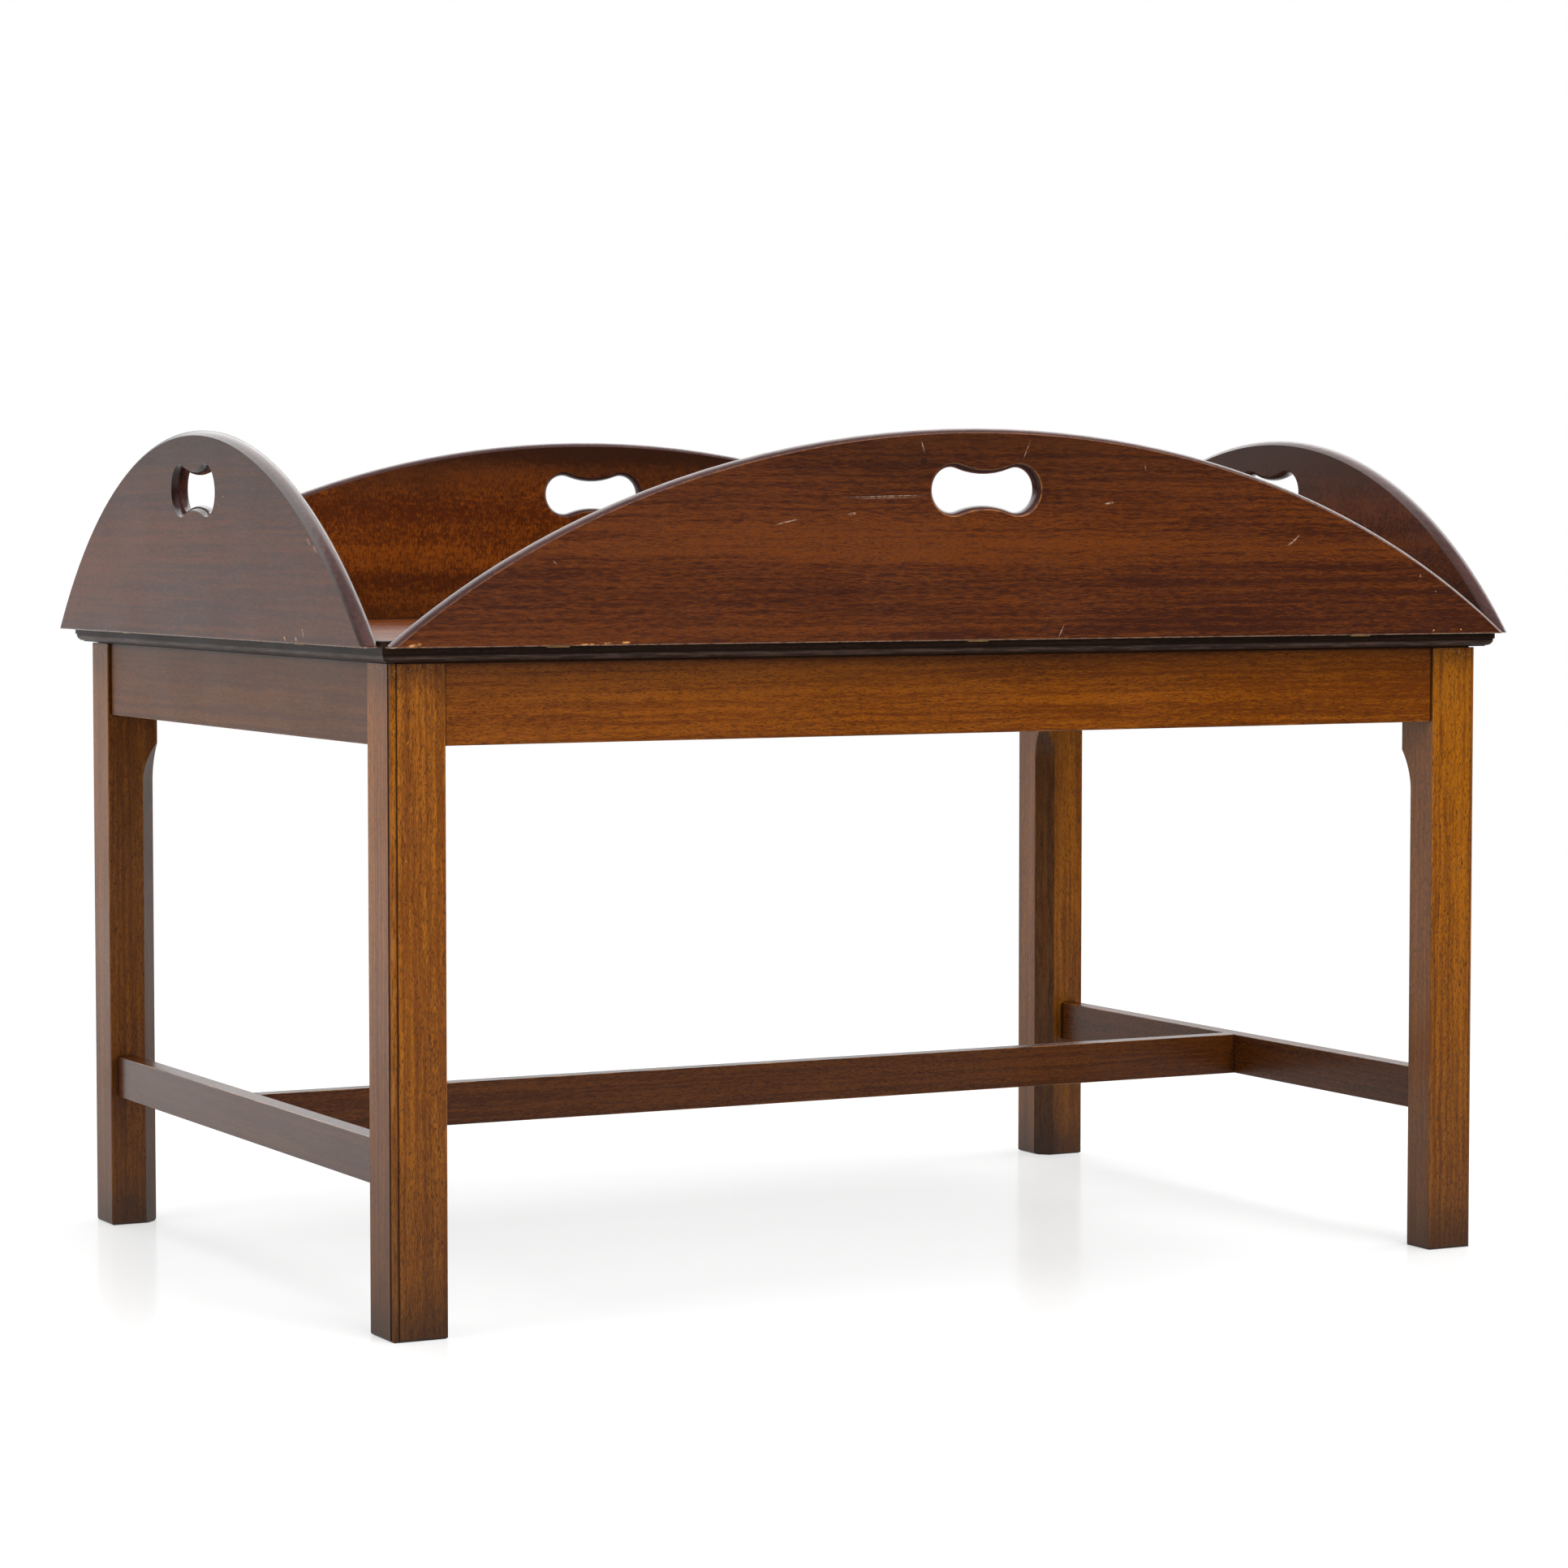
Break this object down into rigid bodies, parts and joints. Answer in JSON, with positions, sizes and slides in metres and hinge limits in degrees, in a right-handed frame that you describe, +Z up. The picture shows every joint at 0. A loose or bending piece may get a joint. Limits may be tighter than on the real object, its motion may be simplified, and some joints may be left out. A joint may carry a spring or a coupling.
{
  "type": "butlers tray table",
  "caption": "Low wooden table: a lift-off tray with hinged curved leaves and hand holes, on a square-legged stand with an H stretcher.",
  "frame": {"origin": "on the floor under the middle of the tray", "axes": "+Z up, +X to the right along the long front side, the front faces -Y"},
  "size_m": [0.9472, 0.6732, 0.6217],
  "materials": {
    "stand_wood": "waxed mahogany, warm brown",
    "tray_wood": "polished mahogany",
    "edge_wood": "dark polished mahogany",
    "leaf_wood": "polished mahogany, red brown",
    "inner_wood": "bare secondary wood",
    "brass": "aged brass",
    "brass_screws": "aged brass",
    "steel_screws": "plain steel",
    "spring_steel": "blued spring steel"
  },
  "bodies": {
    "stand": {"apron_back": "stand_wood", "apron_front": "stand_wood", "apron_left": "stand_wood", "apron_right": "stand_wood", "brace_screws": "steel_screws", "corner_brace_back_left": "inner_wood", "corner_brace_back_right": "inner_wood", "corner_brace_front_left": "inner_wood", "corner_brace_front_right": "inner_wood", "leg_back_left": "stand_wood", "leg_back_right": "stand_wood", "leg_front_left": "stand_wood", "leg_front_right": "stand_wood", "stretcher_left": "stand_wood", "stretcher_middle": "stand_wood", "stretcher_right": "stand_wood"},
    "front_leaf": {"hinge_leaf_plate_front_left": "brass", "hinge_leaf_plate_front_middle": "brass", "hinge_leaf_plate_front_right": "brass", "leaf_front": "leaf_wood", "leaf_screws_front": "brass_screws"},
    "back_leaf": {"hinge_leaf_plate_back_left": "brass", "hinge_leaf_plate_back_middle": "brass", "hinge_leaf_plate_back_right": "brass", "leaf_back": "leaf_wood", "leaf_screws_back": "brass_screws"},
    "left_leaf": {"hinge_leaf_plate_left_back": "brass", "hinge_leaf_plate_left_front": "brass", "leaf_left": "leaf_wood", "leaf_screws_left": "brass_screws"},
    "right_leaf": {"hinge_leaf_plate_right_back": "brass", "hinge_leaf_plate_right_front": "brass", "leaf_right": "leaf_wood", "leaf_screws_right": "brass_screws"},
    "tray": {"batten_screws": "steel_screws", "hinge_pins_back": "brass", "hinge_pins_front": "brass", "hinge_pins_left": "brass", "hinge_pins_right": "brass", "hinge_screws_tray": "brass_screws", "hinge_springs": "spring_steel", "hinge_tray_plate_back_left": "brass", "hinge_tray_plate_back_middle": "brass", "hinge_tray_plate_back_right": "brass", "hinge_tray_plate_front_left": "brass", "hinge_tray_plate_front_middle": "brass", "hinge_tray_plate_front_right": "brass", "hinge_tray_plate_left_back": "brass", "hinge_tray_plate_left_front": "brass", "hinge_tray_plate_right_back": "brass", "hinge_tray_plate_right_front": "brass", "tray_batten_left": "inner_wood", "tray_batten_right": "inner_wood", "tray_edge_back": "edge_wood", "tray_edge_front": "edge_wood", "tray_edge_left": "edge_wood", "tray_edge_right": "edge_wood", "tray_panel": "tray_wood"}
  },
  "joints": [
    {"name": "tray_lift", "type": "slide", "parent": "stand", "child": "tray", "axis": [0, 0, 1], "range_m": [0, 0.15]},
    {"name": "front_leaf_swing", "type": "hinge", "parent": "tray", "child": "front_leaf", "pos_m": [0, -0.32265, 0.47315], "axis": [1, 0, 0], "range_deg": [0, 88.5]},
    {"name": "back_leaf_swing", "type": "hinge", "parent": "tray", "child": "back_leaf", "pos_m": [0, 0.32265, 0.47315], "axis": [-1, 0, 0], "range_deg": [0, 88.5]},
    {"name": "left_leaf_swing", "type": "hinge", "parent": "tray", "child": "left_leaf", "pos_m": [-0.45965, 0, 0.47315], "axis": [0, -1, 0], "range_deg": [0, 88.5]},
    {"name": "right_leaf_swing", "type": "hinge", "parent": "tray", "child": "right_leaf", "pos_m": [0.45965, 0, 0.47315], "axis": [0, 1, 0], "range_deg": [0, 88.5]}
  ]
}
